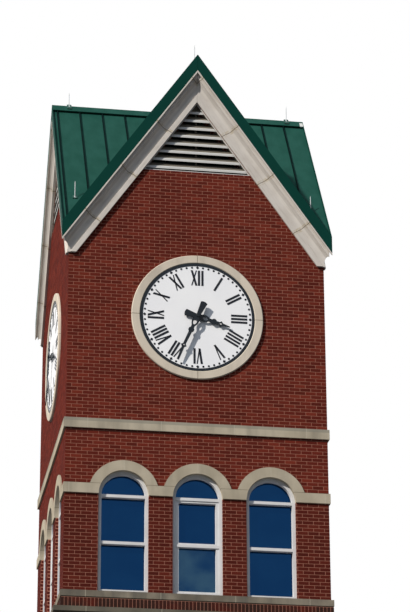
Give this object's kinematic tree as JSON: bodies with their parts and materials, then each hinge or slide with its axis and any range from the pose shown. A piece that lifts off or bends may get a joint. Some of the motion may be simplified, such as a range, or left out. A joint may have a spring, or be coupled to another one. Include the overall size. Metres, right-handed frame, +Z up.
{
  "type": "clock tower",
  "caption": "Square brick clock tower with arcaded window storeys, stone bands, a dial with turning hands on each side and a steep cross-gable metal roof.",
  "frame": {"origin": "middle of the tower's foot, at ground level", "axes": "+Z up along the tower's axis, -Y out of the front face, which has the door, +X to the right seen from the front"},
  "size_m": [5.2468, 5.2468, 25.94],
  "materials": {
    "brick": "matte",
    "limestone": "matte",
    "white_joinery": "satin",
    "window_glass": "gloss",
    "door_paint": "satin",
    "floor": "matte",
    "ground_slab": "matte",
    "dial_enamel": "satin",
    "hand_paint": "satin",
    "cornice_paint": "satin",
    "vent_paint": "satin",
    "green_fascia": "satin",
    "green_roof": "satin",
    "rod_metal": "satin"
  },
  "bodies": {
    "root": {"belfry_arcade": "limestone", "belfry_sill_course": "limestone", "belfry_wall_back": "brick", "belfry_wall_front": "brick", "belfry_wall_left": "brick", "belfry_wall_right": "brick", "belfry_window_frames": "white_joinery", "belfry_window_glass": "window_glass", "dial_rings": "limestone", "dials": "dial_enamel", "door_leaves": "door_paint", "door_surround": "limestone", "gable_vents": "vent_paint", "gable_wall_back": "brick", "gable_wall_front": "brick", "gable_wall_left": "brick", "gable_wall_right": "brick", "ground_floor": "ground_slab", "lightning_rods": "rod_metal", "lower_wall_back": "brick", "lower_wall_front": "brick", "lower_wall_left": "brick", "lower_wall_right": "brick", "middle_wall_back": "brick", "middle_wall_front": "brick", "middle_wall_left": "brick", "middle_wall_right": "brick", "plinth": "limestone", "rake_cornices": "cornice_paint", "rake_fascias": "green_fascia", "ridge_caps": "green_roof", "roof_slopes": "green_roof", "shaft_arcades": "limestone", "shaft_sill_courses": "limestone", "shaft_window_frames": "white_joinery", "shaft_window_glass": "window_glass", "shelf_course": "limestone", "soldier_course": "brick", "string_course": "limestone", "upper_floors": "floor"},
    "minute_hand_front": {"minute_hand_front": "hand_paint"},
    "hour_hand_front": {"hour_hand_front": "hand_paint"},
    "minute_hand_right": {"minute_hand_right": "hand_paint"},
    "hour_hand_right": {"hour_hand_right": "hand_paint"},
    "minute_hand_back": {"minute_hand_back": "hand_paint"},
    "hour_hand_back": {"hour_hand_back": "hand_paint"},
    "minute_hand_left": {"minute_hand_left": "hand_paint"},
    "hour_hand_left": {"hour_hand_left": "hand_paint"}
  },
  "joints": [
    {"name": "minute_turn_front", "type": "hinge", "parent": "root", "child": "minute_hand_front", "pos_m": [0, -2.4384, 20.1308], "axis": [0, 1, 0], "continuous": true},
    {"name": "hour_turn_front", "type": "hinge", "parent": "root", "child": "hour_hand_front", "pos_m": [0, -2.4384, 20.1308], "axis": [0, 1, 0], "continuous": true},
    {"name": "minute_turn_right", "type": "hinge", "parent": "root", "child": "minute_hand_right", "pos_m": [2.4384, 0, 20.1308], "axis": [-1, 0, 0], "continuous": true},
    {"name": "hour_turn_right", "type": "hinge", "parent": "root", "child": "hour_hand_right", "pos_m": [2.4384, 0, 20.1308], "axis": [-1, 0, 0], "continuous": true},
    {"name": "minute_turn_back", "type": "hinge", "parent": "root", "child": "minute_hand_back", "pos_m": [0, 2.4384, 20.1308], "axis": [0, -1, 0], "continuous": true},
    {"name": "hour_turn_back", "type": "hinge", "parent": "root", "child": "hour_hand_back", "pos_m": [0, 2.4384, 20.1308], "axis": [0, -1, 0], "continuous": true},
    {"name": "minute_turn_left", "type": "hinge", "parent": "root", "child": "minute_hand_left", "pos_m": [-2.4384, 0, 20.1308], "axis": [1, 0, 0], "continuous": true},
    {"name": "hour_turn_left", "type": "hinge", "parent": "root", "child": "hour_hand_left", "pos_m": [-2.4384, 0, 20.1308], "axis": [1, 0, 0], "continuous": true}
  ],
  "couplings": [
    {"joint": "hour_turn_front", "follows": "minute_turn_front", "ratio": 0.083333},
    {"joint": "hour_turn_right", "follows": "minute_turn_right", "ratio": 0.083333},
    {"joint": "hour_turn_back", "follows": "minute_turn_back", "ratio": 0.083333},
    {"joint": "hour_turn_left", "follows": "minute_turn_left", "ratio": 0.083333}
  ]
}
